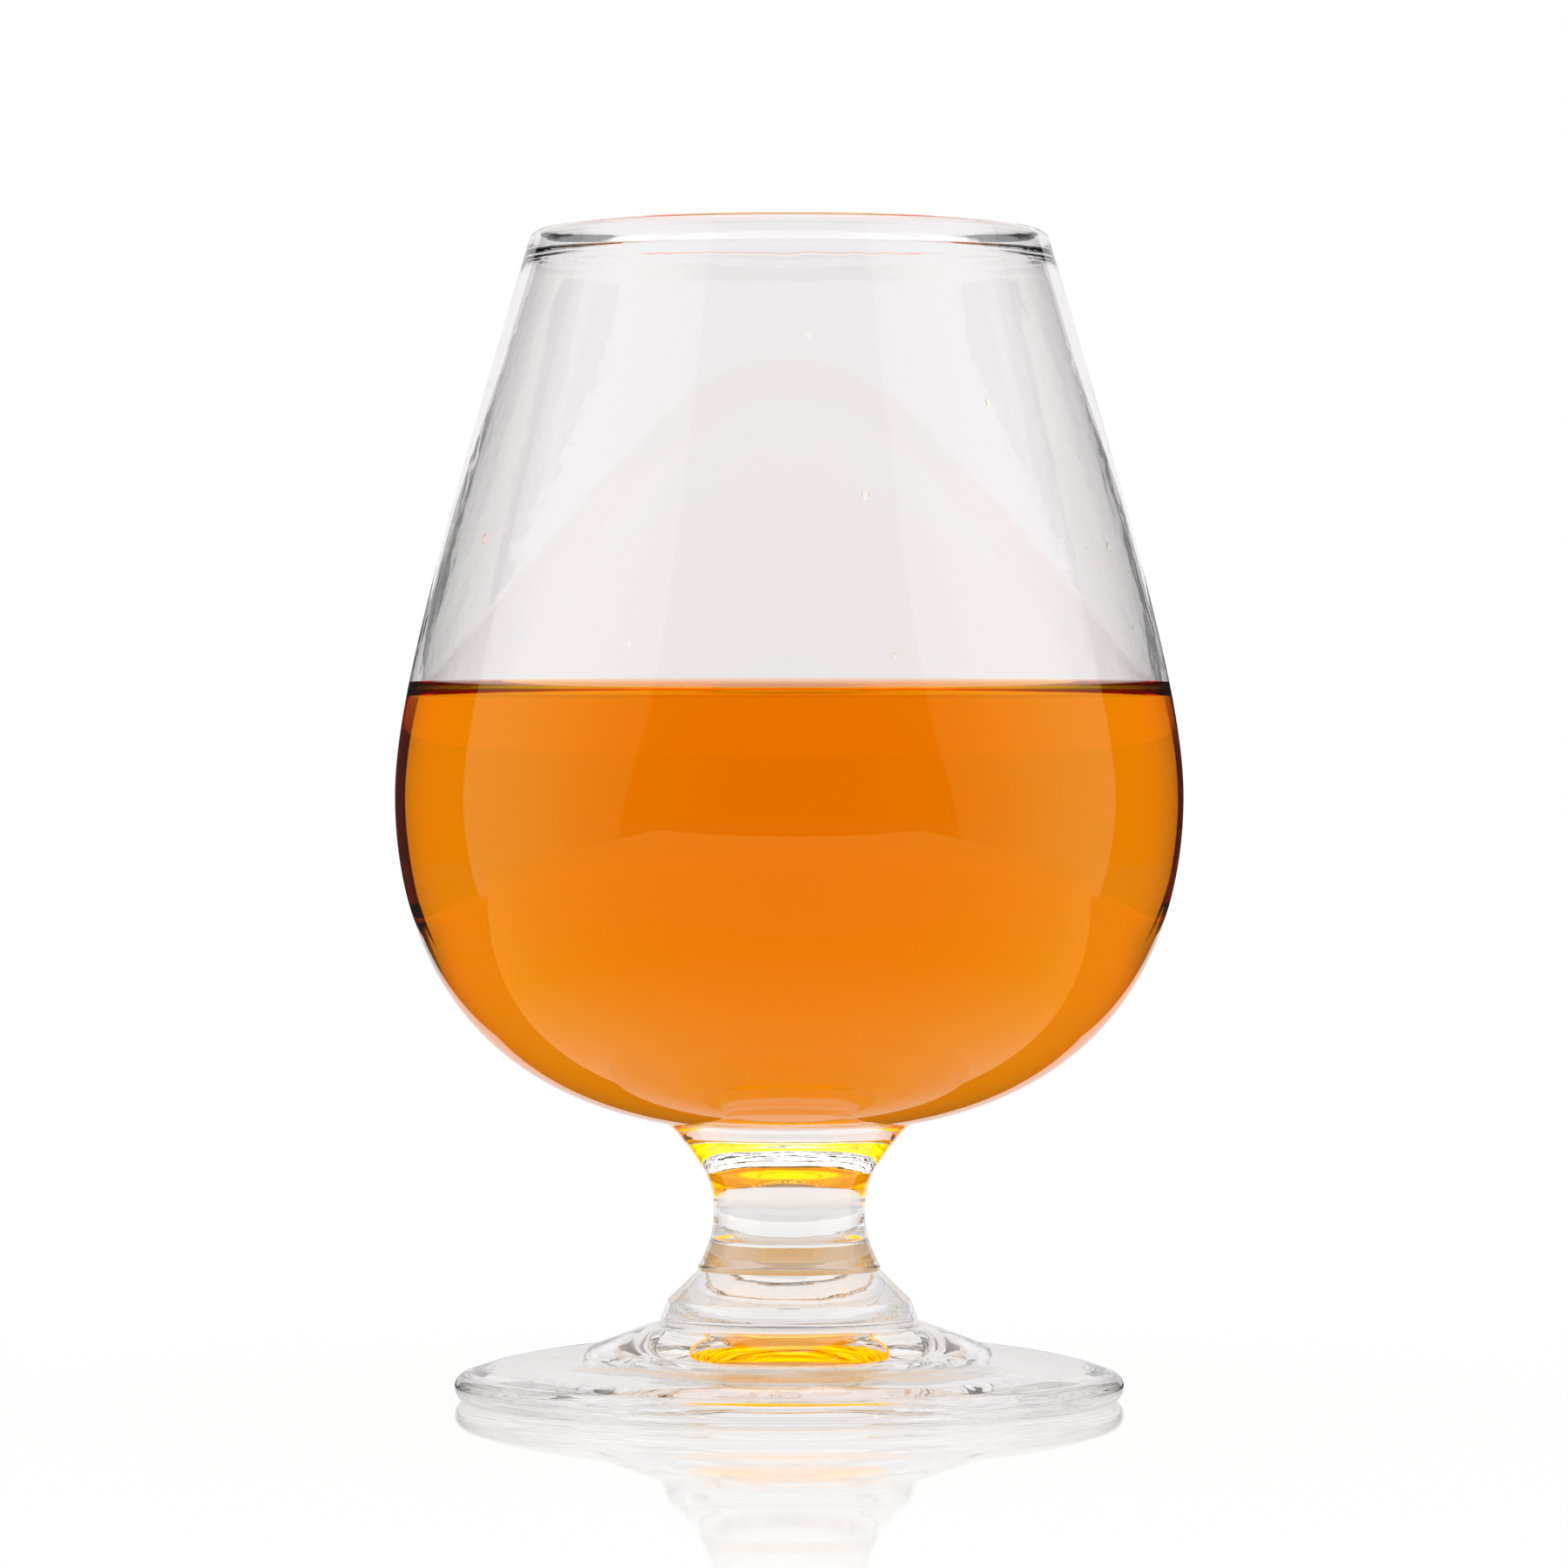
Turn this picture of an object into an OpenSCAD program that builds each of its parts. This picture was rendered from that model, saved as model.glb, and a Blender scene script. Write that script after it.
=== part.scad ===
// Short-stemmed brandy snifter, half full of brandy.
// Millimetres, +Z up. The origin is on the table, under the middle of the foot.
// Every piece is round about the Z axis, so each one is an outline of [radius, height] points, turned.

/* [Foot] */
// Diameter of the foot at its edge
foot_d = 76.4; // [66:0.2:88]
// Height of the foot, from the table to the top of its collar
foot_h = 11.4; // [10:0.1:14]
// Thickness of the foot at its rounded edge
foot_edge = 3.1; // [2.2:0.1:4]
// Width of the flat ring that the foot stands on
foot_land = 3.6; // [2:0.1:6]
// Depth of the hollow under the foot, at its middle
foot_hollow = 3.4; // [0.5:0.1:4]
// Diameter of the collar at its top edge, where the stem sits
collar_d = 27.8; // [24:0.2:32]
// Height of the collar's band
collar_h = 2; // [1:0.1:3]
// How much the collar widens towards the foot, across its diameter
collar_flare = 1.5; // [0.4:0.1:3]
// Width of the step below the collar, where the foot's slope begins
collar_step = 1.4; // [0.6:0.1:2.4]
// Depth of the step below the collar
collar_drop = 0.9; // [0.4:0.1:1.2]

/* [Stem] */
// Height of the stem, from the collar to the bowl
stem_h = 20.1; // [16:0.1:26]
// Diameter of the stem's top, where the bowl sits
joint_d = 27.8; // [24:0.2:32]
// Diameter of the stem at the ring below its neck
neck_d = 18.9; // [17.6:0.1:22]
// Diameter of the stem at its waist
waist_d = 17.2; // [14:0.1:17.6]
// Diameter of the stem at the pressed ring above the collar
ring_d = 20.8; // [18:0.1:23]
// How far the pressed ring stands out
ring_relief = 0.2; // [0.1:0.05:0.4]

/* [Bowl] */
// Outside diameter of the bowl at its widest
bowl_d = 90; // [82:1:100]
// Height of the bowl, from the stem to the top of the rim
bowl_h = 101.8; // [92:0.2:114]
// Height of the bowl's widest ring above the stem
belly_rise = 37.4; // [32:0.2:42]
// Outside diameter of the bowl just below the rim bead
mouth_d = 59.4; // [52:0.2:68]
// Lean of the wall at the mouth, in degrees from upright
mouth_lean = 16.5; // [12:0.5:21]
// Slope of the bowl's underside at the stem, in degrees from level
cup_slope = 10; // [7:1:15]
// Thickness of the blown wall
wall = 1.3; // [1.1:0.1:2]
// Thickness of the wall where the bowl sits on the stem
base_wall = 3; // [2.2:0.1:4]
// How much thicker the fire-polished rim bead is than the wall
bead_swell = 0.9; // [0.4:0.1:1.4]

/* [Brandy] */
// Depth of the brandy, from the bottom of the bowl to its level
fill_depth = 46; // [36:0.2:56]
// Capillary length of the brandy, which sets how high it creeps up the wall
capillary = 1.8; // [1.2:0.05:2.4]
// Gap between the brandy and the glass
brandy_gap = 0.25; // [0.1:0.05:0.4]

/* [Hidden] */
$fn = 120;
// Straight steps along each long curve, and along each short bend or arc
curve_steps = 24;
bend_steps = 10;
// Points closer than this are one point
seam = 0.001;

// Heights of the joints, the widest ring and the rim, from the table
joint_z = foot_h + stem_h;
belly_z = joint_z + belly_rise;
rim_z = joint_z + bowl_h;

// Handles of the bowl's two curves, as shares of the height or width that each one spans
mouth_share = 0.66;
shoulder_share = 0.14;
belly_share = 0.29;
cup_share = 0.9;

// Places of the neck's ring, the waist and the pressed ring, as shares of the stem's height
neck_share = 0.715;
waist_share = 0.51;
ring_share = 0.19;

// Bends of the stem between those places, as shares of the spans that they bridge
neck_bend_shares = [0.64, 0.79];
waist_bend_shares = [1, 0.5];
flare_bend_shares = [0.55, 0.55];
// Half the height of the pressed ring, as a share of the stem's height
ring_band_share = 0.02;

// Shape of the foot's top: the end of its straight slope, then the handles of the curve to its edge
slope_end_shares = [0.34, 0.48];
plate_in_shares = [0.58, 0.66];
plate_out_shares = [0.82, 0.7];

// Steepest and flattest slope of the brandy's creeping edge, in degrees
creep_steep = 88;
creep_flat = 3;

// A point on a cubic curve, and the unit normal on the left of its direction of travel
function cubic(p, t) =
    let (u = 1 - t)
    u * u * u * p[0] + 3 * u * u * t * p[1] + 3 * u * t * t * p[2] + t * t * t * p[3];
function cubic_normal(p, t) =
    let (u = 1 - t)
    let (d = u * u * (p[1] - p[0]) + 2 * u * t * (p[2] - p[1]) + t * t * (p[3] - p[2]))
    [-d[1], d[0]] / norm(d);
function curve(p) = [for (i = [0 : curve_steps]) cubic(p, i / curve_steps)];

// A quadratic curve from a to b with its one handle at h
function bend(a, h, b) =
    [for (i = [0 : bend_steps])
        let (t = i / bend_steps)
        (1 - t) * (1 - t) * a + 2 * t * (1 - t) * h + t * t * b];

// Points round an arc
function arc(centre, r, from, to) =
    [for (i = [0 : bend_steps])
        let (a = from + (to - from) * i / bend_steps)
        centre + r * [cos(a), sin(a)]];

// Point at these shares of the way from a to b, in radius and in height
function between(a, b, shares) = [for (k = [0, 1]) a[k] + (b[k] - a[k]) * shares[k]];

function reversed(points) = [for (i = [len(points) - 1 : -1 : 0]) points[i]];

// A solid turned from an outline, without the points that its stretches share
module turned(points) {
    rotate_extrude()
        polygon([for (i = [0 : len(points) - 1])
            if (i == 0 || norm(points[i] - points[i - 1]) > seam) points[i]]);
}

// Outside of the bowl: one curve from the stem out to the belly, one from the belly up to the mouth
joint_p = [joint_d / 2, joint_z];
belly_p = [bowl_d / 2, belly_z];
bead_r = (wall + bead_swell) / 2;
mouth_p = [mouth_d / 2, rim_z - bead_r * (1 - sin(mouth_lean))];
cup_handle = cup_share * (belly_p[0] - joint_p[0]);
cup_curve = [
    joint_p,
    joint_p + cup_handle * [cos(cup_slope), sin(cup_slope)],
    belly_p - [0, belly_share * belly_rise],
    belly_p
];
wall_rise = mouth_p[1] - belly_z;
wall_curve = [
    belly_p,
    belly_p + [0, shoulder_share * wall_rise],
    mouth_p + mouth_share * wall_rise * [sin(mouth_lean), -cos(mouth_lean)],
    mouth_p
];

// Inside of the bowl, drawn in further by a gap: the wall thickens steadily from the belly to the stem
function cup_inside(t, gap) =
    let (thickening = (base_wall - wall) * (1 - t) * (1 - t))
    cubic(cup_curve, t) + (wall + thickening + gap) * cubic_normal(cup_curve, t);
function wall_inside(t, gap) = cubic(wall_curve, t) + (wall + gap) * cubic_normal(wall_curve, t);

// The bowl's floor carries the slope at the stem on to a level point on the axis
function floor_z(gap) =
    let (p = cup_inside(0, gap))
    p[1] - tan(cup_slope) * p[0] / 2;

// Inside outline from the axis up to a place on the wall's curve
function inside(gap, top) =
    let (p = cup_inside(0, gap))
    let (z = floor_z(gap))
    concat(
        bend([0, z], [p[0] / 2, z], p),
        [for (i = [1 : curve_steps]) cup_inside(i / curve_steps, gap)],
        [for (i = [1 : curve_steps]) wall_inside(top * i / curve_steps, gap)]
    );

// Where the inside of the wall reaches a height
function wall_at(z, gap, low = 0, high = 1, tries = 40) =
    let (t = (low + high) / 2)
    tries == 0 ? t
    : wall_inside(t, gap)[1] < z ? wall_at(z, gap, t, high, tries - 1)
    : wall_at(z, gap, low, t, tries - 1);

// Creep of a liquid up a wall: distance along the level and height above it, where it slopes by a
function creep_x(a) = capillary * (ln(tan(a / 4)) + 2 * cos(a / 2));
function creep_z(a) = 2 * capillary * (sin(a / 2) - sin(creep_flat / 2));

// Pressed glass foot: a low sloped disc with a collar for the stem, hollow underneath
module foot() {
    edge_r = foot_edge / 2;
    edge_centre = [foot_d / 2 - edge_r, edge_r];
    plate_edge = edge_centre + [0, edge_r];
    land_in = [edge_centre[0] - foot_land, 0];
    collar_top = [collar_d / 2, foot_h];
    collar_base = collar_top + [collar_flare / 2, -collar_h];
    slope_top = collar_base + [collar_step, -collar_drop];
    slope_end = between(slope_top, plate_edge, slope_end_shares);
    plate_curve = [
        slope_end,
        between(slope_top, plate_edge, plate_in_shares),
        between(slope_top, plate_edge, plate_out_shares),
        plate_edge
    ];
    color("#dfe3e2")
        turned(concat(
            bend([0, foot_hollow], [land_in[0] / 2, foot_hollow], land_in),
            arc(edge_centre, edge_r, -90, 90),
            reversed(curve(plate_curve)),
            bend(slope_top, [collar_base[0], slope_top[1]], collar_base),
            [collar_top, [0, foot_h]]
        ));
}

// Pressed glass stem: a flared solid waist between the collar and the bowl, with one pressed ring
module stem() {
    collar_top = [collar_d / 2, foot_h];
    neck_p = [neck_d / 2, foot_h + neck_share * stem_h];
    waist_p = [waist_d / 2, foot_h + waist_share * stem_h];
    ring_z = foot_h + ring_share * stem_h;
    ring_band = ring_band_share * stem_h;
    ring_top = [ring_d / 2 - ring_relief, ring_z + ring_band];
    ring_base = [ring_d / 2, ring_z - ring_band];
    color("#e6e9e8")
        turned(concat(
            [[0, foot_h]],
            bend(collar_top, between(collar_top, ring_base, flare_bend_shares), ring_base),
            [[ring_d / 2, ring_z]],
            bend(ring_top, between(ring_top, waist_p, waist_bend_shares), waist_p),
            bend(waist_p, between(neck_p, waist_p, waist_bend_shares), neck_p),
            bend(neck_p, between(neck_p, joint_p, neck_bend_shares), joint_p),
            [[0, joint_z]]
        ));
}

// Blown glass bowl: an even wall that thickens towards the stem, with a fire-polished bead at the rim
module bowl() {
    bead_centre = mouth_p - bead_r * [cos(mouth_lean), sin(mouth_lean)];
    bead_turn = 180 + acos((wall - bead_r) / bead_r);
    bead = arc(bead_centre, bead_r, mouth_lean, mouth_lean + bead_turn);
    bead_end = bead[len(bead) - 1];
    color("#eceeee", 0.4)
        turned(concat(
            [[0, joint_z]],
            curve(cup_curve),
            curve(wall_curve),
            [for (i = [0 : len(bead) - 2]) bead[i]],
            reversed(inside(0, wall_at(bead_end[1], 0)))
        ));
}

// Brandy: fills the bowl to its level and creeps a little way up the glass
module brandy() {
    level = floor_z(0) + fill_depth;
    touch = wall_at(level + creep_z(creep_steep), brandy_gap);
    touch_r = wall_inside(touch, brandy_gap)[0];
    color("#e67a00")
        turned(concat(
            inside(brandy_gap, touch),
            [for (i = [1 : bend_steps])
                let (a = creep_steep + (creep_flat - creep_steep) * i / bend_steps)
                [touch_r - creep_x(creep_steep) + creep_x(a), level + creep_z(a)]],
            [[0, level]]
        ));
}

foot();
stem();
bowl();
brandy();
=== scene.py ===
import math
import bpy
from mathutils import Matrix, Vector


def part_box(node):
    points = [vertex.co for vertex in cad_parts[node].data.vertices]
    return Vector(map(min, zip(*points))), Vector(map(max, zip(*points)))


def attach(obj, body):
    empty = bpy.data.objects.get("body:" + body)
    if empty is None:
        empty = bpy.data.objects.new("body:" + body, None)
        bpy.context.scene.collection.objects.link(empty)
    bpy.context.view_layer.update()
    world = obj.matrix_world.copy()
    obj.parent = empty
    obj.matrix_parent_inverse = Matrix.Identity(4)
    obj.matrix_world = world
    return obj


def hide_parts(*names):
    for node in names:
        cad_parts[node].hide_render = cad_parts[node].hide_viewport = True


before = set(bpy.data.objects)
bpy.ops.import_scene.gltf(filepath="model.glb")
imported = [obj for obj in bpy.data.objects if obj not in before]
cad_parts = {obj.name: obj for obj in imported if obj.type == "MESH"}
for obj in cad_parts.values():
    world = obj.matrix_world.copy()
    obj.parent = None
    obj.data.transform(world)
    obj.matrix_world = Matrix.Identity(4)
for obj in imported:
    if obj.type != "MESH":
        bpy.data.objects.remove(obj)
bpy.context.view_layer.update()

# Foot
# A pressed soda-lime glass disc with a short collar in its middle, where the stem is fused on.
# It is hollow underneath, so it stands on a narrow ring near its edge.
MM = 0.001
foot_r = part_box("foot")[1].x / MM
foot_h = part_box("foot")[1].z / MM
collar_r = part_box("stem")[1].x / MM
foot_edge, foot_land, foot_hollow = 3.1, 3.6, 3.4
collar_h, collar_flare, collar_step, collar_drop = 2.0, 0.75, 1.4, 0.9
slope_end_shares, plate_in_shares, plate_out_shares = (0.34, 0.48), (0.58, 0.66), (0.82, 0.7)
step_ripple_share, collar_ripple_share = 0.6, 0.3
hollow_steps, edge_steps, plate_steps, slope_steps, step_steps = 40, 36, 48, 8, 16
seam_gap, point_gap, crease_angle, noise_middle = 0.001, 0.0005, math.radians(28), 0.5
glass_ior, brandy_ior, fused_ior = 1.52, 1.36, 1.0
joint_face, dry_face, wet_face, filled_face, inside_face = range(5)


def linear(colour):
    """An sRGB hex colour as linear red, green, blue and alpha."""
    shares = [int(colour[i : i + 2], 16) / 255 for i in (1, 3, 5)]
    return [s / 12.92 if s <= 0.04045 else ((s + 0.055) / 1.055) ** 2.4 for s in shares] + [1]


def add(tree, kind, inputs=(), **settings):
    """A node in a tree, with its settings, its constants and its links."""
    node = tree.nodes.new(kind)
    for name, value in settings.items():
        setattr(node, name, value)
    for socket, value in dict(inputs).items():
        if isinstance(value, bpy.types.NodeSocket):
            tree.links.new(value, node.inputs[socket])
        else:
            node.inputs[socket].default_value = value
    return node


def evenly(steps):
    """Even steps from 0 to 1."""
    return [i / steps for i in range(steps + 1)]


def cubic(p, t):
    """A point on a cubic curve through four handles."""
    u = 1 - t
    return p[0] * u**3 + p[1] * 3 * u * u * t + p[2] * 3 * u * t * t + p[3] * t**3


def bend(a, handle, b, steps):
    """Points along a curve from a to b with one handle."""
    return [a * (1 - t) ** 2 + handle * 2 * t * (1 - t) + b * t * t for t in evenly(steps)]


def arc(centre, r, start, end, steps):
    """Points round an arc, from one angle in degrees to another."""
    angles = [math.radians(start + (end - start) * t) for t in evenly(steps)]
    return [centre + Vector((math.cos(a), math.sin(a))) * r for a in angles]


def between(a, b, shares):
    """The point at these shares of the way from a to b, in radius and in height."""
    return Vector((a.x + (b.x - a.x) * shares[0], a.y + (b.y - a.y) * shares[1]))


def turning_tree():
    """Geometry nodes that turn an outline of radius and height about the axis, as a glass mould does."""
    tree = bpy.data.node_groups.new("turned outline", "GeometryNodeTree")
    for name, kind in (
        ("Outline", "Geometry"),
        ("Segments", "Int"),
        ("Ripple Height", "Float"),
        ("Ripple Width", "Float"),
        ("Ripple Detail", "Float"),
        ("Ripple Sweep", "Float"),
        ("Ripple Seed", "Float"),
        ("Joint Faces", "Material"),
        ("Dry Faces", "Material"),
        ("Wet Faces", "Material"),
        ("Filled Faces", "Material"),
        ("Inside Faces", "Material"),
    ):
        tree.interface.new_socket(name=name, in_out="INPUT", socket_type="NodeSocket" + kind)
    tree.interface.new_socket(name="Piece", in_out="OUTPUT", socket_type="NodeSocketGeometry")
    given = add(tree, "NodeGroupInput").outputs
    count = add(tree, "GeometryNodeAttributeDomainSize", {"Geometry": given["Outline"]}).outputs
    rings = add(tree, "FunctionNodeIntegerMath", {0: given["Segments"], 1: 1}, operation="ADD").outputs[0]
    grid = add(
        tree, "GeometryNodeMeshGrid", {"Vertices X": rings, "Vertices Y": count["Point Count"]}
    ).outputs["Mesh"]
    index = add(tree, "GeometryNodeInputIndex").outputs[0]

    def sampled(attribute, kind, domain, modulus):
        """The outline's value at the same place along it as the turned mesh's point or face."""
        place = add(tree, "FunctionNodeIntegerMath", {0: index, 1: modulus}, operation="MODULO").outputs[0]
        return add(
            tree,
            "GeometryNodeSampleIndex",
            {"Geometry": given["Outline"], "Value": attribute, "Index": place},
            data_type=kind,
            domain=domain,
        ).outputs[0]

    position = add(tree, "GeometryNodeInputPosition").outputs[0]
    spot = sampled(position, "FLOAT_VECTOR", "POINT", count["Point Count"])
    ring = add(
        tree, "FunctionNodeIntegerMath", {0: index, 1: count["Point Count"]}, operation="DIVIDE_FLOOR"
    ).outputs[0]
    turn = add(tree, "ShaderNodeMath", {0: ring, 1: given["Segments"]}, operation="DIVIDE").outputs[0]
    angle = add(tree, "ShaderNodeMath", {0: turn, 1: math.tau}, operation="MULTIPLY").outputs[0]
    swung = add(tree, "ShaderNodeVectorRotate", {"Vector": spot, "Angle": angle}, rotation_type="Z_AXIS")
    mesh = grid
    for name, kind, domain, modulus in (
        ("ripple", "FLOAT", "POINT", count["Point Count"]),
        ("face", "INT", "FACE", count["Edge Count"]),
    ):
        source = add(tree, "GeometryNodeInputNamedAttribute", {"Name": name}, data_type=kind).outputs[0]
        value = sampled(source, kind, "POINT" if domain == "POINT" else "EDGE", modulus)
        mesh = add(
            tree,
            "GeometryNodeStoreNamedAttribute",
            {"Geometry": mesh, "Name": name, "Value": value},
            data_type=kind,
            domain=domain,
        ).outputs[0]
    mesh = add(tree, "GeometryNodeSetPosition", {"Geometry": mesh, "Position": swung.outputs[0]}).outputs[0]
    mesh = add(tree, "GeometryNodeMergeByDistance", {"Geometry": mesh, "Distance": seam_gap * MM}).outputs[0]
    flat = add(tree, "ShaderNodeVectorMath", {0: position, 1: (1, 1, 0)}, operation="MULTIPLY").outputs[0]
    radius = add(tree, "ShaderNodeVectorMath", {0: flat}, operation="LENGTH").outputs["Value"]
    side = add(tree, "ShaderNodeVectorMath", {0: flat}, operation="NORMALIZE").outputs[0]
    side = add(
        tree, "ShaderNodeVectorMath", {0: side, "Scale": given["Ripple Sweep"]}, operation="SCALE"
    ).outputs[0]
    side = add(tree, "ShaderNodeSeparateXYZ", {0: side}).outputs
    height = add(tree, "ShaderNodeSeparateXYZ", {0: position}).outputs["Z"]
    radius, height = [
        add(tree, "ShaderNodeMath", {0: way, 1: given["Ripple Width"]}, operation="DIVIDE").outputs[0]
        for way in (radius, height)
    ]
    height = add(tree, "ShaderNodeMath", {0: height, 1: given["Ripple Seed"]}, operation="ADD").outputs[0]
    swept = add(tree, "ShaderNodeCombineXYZ", {"X": side["X"], "Y": side["Y"], "Z": height}).outputs[0]
    noise = add(
        tree,
        "ShaderNodeTexNoise",
        {"Vector": swept, "W": radius, "Scale": 1.0, "Detail": given["Ripple Detail"]},
        noise_dimensions="4D",
    ).outputs["Fac"]
    swell = add(tree, "ShaderNodeMath", {0: noise, 1: noise_middle}, operation="SUBTRACT").outputs[0]
    weight = add(tree, "GeometryNodeInputNamedAttribute", {"Name": "ripple"}, data_type="FLOAT").outputs[0]
    for factor in (weight, given["Ripple Height"]):
        swell = add(tree, "ShaderNodeMath", {0: swell, 1: factor}, operation="MULTIPLY").outputs[0]
    normal = add(tree, "GeometryNodeInputNormal").outputs[0]
    lift = add(tree, "ShaderNodeVectorMath", {0: normal, "Scale": swell}, operation="SCALE").outputs[0]
    mesh = add(tree, "GeometryNodeSetPosition", {"Geometry": mesh, "Offset": lift}).outputs[0]
    mesh = add(tree, "GeometryNodeSetShadeSmooth", {"Geometry": mesh, "Shade Smooth": True}).outputs[0]
    fold = add(tree, "GeometryNodeInputMeshEdgeAngle").outputs[0]
    crease = add(tree, "FunctionNodeCompare", {0: fold, 1: crease_angle}, operation="GREATER_THAN").outputs[0]
    mesh = add(
        tree,
        "GeometryNodeSetShadeSmooth",
        {"Geometry": mesh, "Selection": crease, "Shade Smooth": False},
        domain="EDGE",
    ).outputs[0]
    mesh = add(tree, "GeometryNodeRealizeInstances", {"Geometry": mesh}).outputs[0]
    kind_of_face = add(tree, "GeometryNodeInputNamedAttribute", {"Name": "face"}, data_type="INT").outputs[0]
    for face, socket in (
        (joint_face, "Joint Faces"),
        (dry_face, "Dry Faces"),
        (wet_face, "Wet Faces"),
        (filled_face, "Filled Faces"),
        (inside_face, "Inside Faces"),
    ):
        here = add(
            tree, "FunctionNodeCompare", {2: kind_of_face, 3: face}, data_type="INT", operation="EQUAL"
        ).outputs[0]
        mesh = add(
            tree, "GeometryNodeSetMaterial", {"Geometry": mesh, "Selection": here, "Material": given[socket]}
        ).outputs[0]
    add(tree, "NodeGroupOutput", {"Piece": mesh})
    return tree


def plain_mesh(obj, tree, settings):
    """The object's mesh as the tree makes it with these settings, with no modifier left on it."""
    modifier = obj.modifiers.new("shape", "NODES")
    modifier.node_group = tree
    for item in tree.interface.items_tree:
        if item.in_out == "INPUT" and item.name in settings:
            modifier[item.identifier] = settings[item.name]
    shaped = obj.evaluated_get(bpy.context.evaluated_depsgraph_get())
    mesh = bpy.data.meshes.new_from_object(shaped)
    obj.modifiers.clear()
    obj.data = mesh
    mesh.name = obj.name


def turned(name, stretches, materials, ripple=(0, 1, 0, 1, 0), segments=240):
    """A piece turned from stretches of outline.

    Each stretch has its points, its kind of face and its share of the ripple.
    The ripple is a height and a width in mm, a detail, a sweep round the axis and a seed.
    """
    points, faces, ripples = [], [], []
    for stretch, face, rippled in stretches:
        for point in stretch:
            if not points or (point - points[-1]).length > point_gap:
                points.append(point)
                faces.append(face)
                ripples.append(rippled)
    mesh = bpy.data.meshes.new(name)
    edges = [(i, i + 1) for i in range(len(points) - 1)]
    mesh.from_pydata([(p.x * MM, 0, p.y * MM) for p in points], edges, [])
    mesh.attributes.new("ripple", "FLOAT", "POINT").data.foreach_set("value", ripples)
    mesh.attributes.new("face", "INT", "EDGE").data.foreach_set("value", faces[1:])
    obj = bpy.data.objects.new(name, mesh)
    bpy.context.scene.collection.objects.link(obj)
    height, width, detail, sweep, seed = ripple
    settings = {
        "Segments": segments,
        "Ripple Height": height * MM,
        "Ripple Width": width * MM,
        "Ripple Detail": detail,
        "Ripple Sweep": sweep,
        "Ripple Seed": seed,
    }
    sockets = ("Joint Faces", "Dry Faces", "Wet Faces", "Filled Faces", "Inside Faces")
    settings.update(zip(sockets, materials))
    plain_mesh(obj, turning, settings)
    return obj


def clear(name, ior, marks=None, detail=2.0):
    """A clear, smooth material that bends light by its index.

    Its marks, left by the making, have a depth, a width and a height in mm.
    """
    material = bpy.data.materials.new(name)
    material.use_nodes = True
    shader = material.node_tree.nodes["Principled BSDF"]
    for socket, value in (
        ("Base Color", linear("#ffffff")),
        ("Roughness", 0.0),
        ("IOR", ior),
        ("Transmission Weight", 1.0),
    ):
        shader.inputs[socket].default_value = value
    if marks:
        tree = material.node_tree
        depth, width, height = marks
        spot = add(tree, "ShaderNodeTexCoord").outputs["Object"]
        sizes = [1 / (size * MM) for size in (width, width, height)]
        spot = add(tree, "ShaderNodeVectorMath", {0: spot, 1: sizes}, operation="MULTIPLY").outputs[0]
        noise = add(
            tree, "ShaderNodeTexNoise", {"Vector": spot, "Scale": 1.0, "Detail": detail}
        ).outputs["Fac"]
        bump = add(tree, "ShaderNodeBump", {"Height": noise, "Strength": 1.0, "Distance": depth * MM})
        tree.links.new(bump.outputs[0], shader.inputs["Normal"])
    return material


# Pressed soda-lime glass is clear and bright, with the faint level rings that a mould leaves.
pressed_glass = clear("soda_lime_glass_pressed", glass_ior, marks=(0.012, 9, 0.9))
# Glass fused to glass bends no light, so the joint can't be seen.
fused_glass = clear("soda_lime_glass_fused", fused_ior)
turning = turning_tree()

edge_r = foot_edge / 2
edge_centre = Vector((foot_r - edge_r, edge_r))
plate_edge = edge_centre + Vector((0, edge_r))
land_in = Vector((edge_centre.x - foot_land, 0))
collar_top = Vector((collar_r, foot_h))
collar_base = collar_top + Vector((collar_flare, -collar_h))
slope_top = collar_base + Vector((collar_step, -collar_drop))
slope_foot = Vector((collar_base.x, slope_top.y))
slope_end = between(slope_top, plate_edge, slope_end_shares)
plate_handles = [
    plate_edge,
    between(slope_top, plate_edge, plate_out_shares),
    between(slope_top, plate_edge, plate_in_shares),
    slope_end,
]
hollow_top, hollow_handle = Vector((0, foot_hollow)), Vector((land_in.x / 2, foot_hollow))
foot = turned(
    "foot_pressed",
    [
        (bend(hollow_top, hollow_handle, land_in, hollow_steps)[:-1], dry_face, 1),
        ([land_in], dry_face, 0),
        (arc(edge_centre, edge_r, -90, 90, edge_steps), dry_face, 0),
        ([cubic(plate_handles, t) for t in evenly(plate_steps)], dry_face, 1),
        ([slope_end.lerp(slope_top, t) for t in evenly(slope_steps)], dry_face, 1),
        (bend(slope_top, slope_foot, collar_base, step_steps), dry_face, step_ripple_share),
        ([collar_base.lerp(collar_top, t) for t in evenly(slope_steps)], dry_face, collar_ripple_share),
        ([collar_top, Vector((0, foot_h))], joint_face, 0),
    ],
    (fused_glass, pressed_glass),
    ripple=(0.16, 7, 2.5, 1.4, 3),
)
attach(foot, "glass")
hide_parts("foot")

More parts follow.
